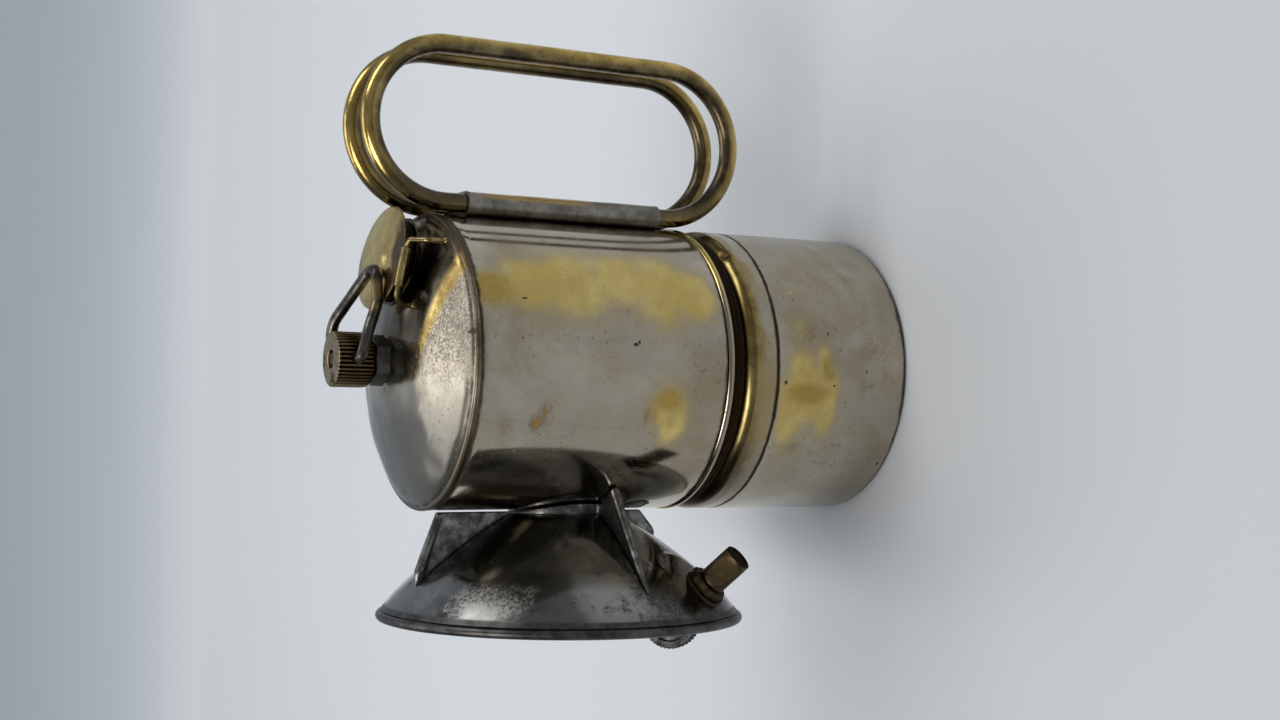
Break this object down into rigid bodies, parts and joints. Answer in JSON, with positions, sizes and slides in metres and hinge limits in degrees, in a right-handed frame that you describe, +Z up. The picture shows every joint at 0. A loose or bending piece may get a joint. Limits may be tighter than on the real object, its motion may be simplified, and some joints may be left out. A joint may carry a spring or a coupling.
{
  "type": "carbide miners lamp",
  "caption": "Hand-held carbide lamp: water tank with drip valve and hinged filler lid over a screw-on carbide base, round reflector with burner and flint striker, wire loop handle.",
  "frame": {"origin": "middle of the base's flat underside, where the lamp stands", "axes": "+Z up the tank's axis, -X out of the reflector, +X towards the handle, Y across the reflector"},
  "size_m": [0.1398, 0.0864, 0.1332],
  "materials": {
    "nickel": "worn nickel plate over brass, polished with rubbed brassy patches",
    "brass": "aged brass, rubbed bright on edges",
    "steel": "dark tarnished steel",
    "rubber": "black rubber",
    "felt": "pressed felt",
    "ceramic": "fired white ceramic",
    "flint": "lighter flint"
  },
  "bodies": {
    "lamp": {"screw_neck": "brass", "filter_plate": "brass", "felt_filter": "felt", "tank_floor": "nickel", "water_tank": "nickel", "tank_top": "nickel", "drip_tube": "brass", "gas_tube": "brass", "valve_post": "steel", "packing_ring": "felt", "gland_nut": "steel", "filler_neck": "nickel", "hinge_wire": "brass", "burner_socket": "brass", "burner_base": "brass", "burner_tip": "ceramic", "reflector": "steel", "reflector_brace": "steel", "reflector_nut": "brass", "flint_tube": "brass", "clamp_nut": "steel", "flint_cap": "brass", "flint_spring": "steel", "flint": "flint", "wheel_bracket": "steel", "handle_front": "brass", "handle_back": "brass", "handle_clip": "brass"},
    "valve": {"valve_stem": "steel", "valve_knob": "brass"},
    "lever": {"lever_wire": "steel"},
    "lid": {"water_lid": "brass", "lid_gasket": "rubber"},
    "striker": {"striker_wheel": "steel", "striker_axle": "steel"},
    "seal": {"base_gasket": "rubber"},
    "base": {"base_cup": "nickel", "base_collar": "brass"}
  },
  "joints": [
    {"name": "valve_turn", "type": "hinge", "parent": "lamp", "child": "valve", "pos_m": [0, 0, 0.129], "axis": [0, 0, -1], "range_deg": [0, 180]},
    {"name": "lever_lift", "type": "hinge", "parent": "valve", "child": "lever", "pos_m": [0, 0, 0.129], "axis": [0, -1, 0], "range_deg": [0, 100]},
    {"name": "lid_open", "type": "hinge", "parent": "lamp", "child": "lid", "pos_m": [0.02016, -0.01293, 0.12148], "axis": [0.9816, 0, -0.1908], "range_deg": [0, 106]},
    {"name": "striker_spin", "type": "hinge", "parent": "lamp", "child": "striker", "pos_m": [-0.05834, -0.02266, 0.0583], "axis": [0, -0.6157, 0.788], "continuous": true},
    {"name": "base_drop", "type": "slide", "parent": "lamp", "child": "seal", "axis": [0, 0, -1], "range_m": [0, 0.00645]},
    {"name": "base_turn", "type": "hinge", "parent": "seal", "child": "base", "pos_m": [0, 0, 0.02], "axis": [0, 0, -1], "range_deg": [0, 720]}
  ],
  "couplings": [
    {"joint": "lid_open", "follows": "lever_lift", "ratio": 1.05},
    {"joint": "base_drop", "follows": "base_turn", "m_per_rad": 0.0005093}
  ]
}
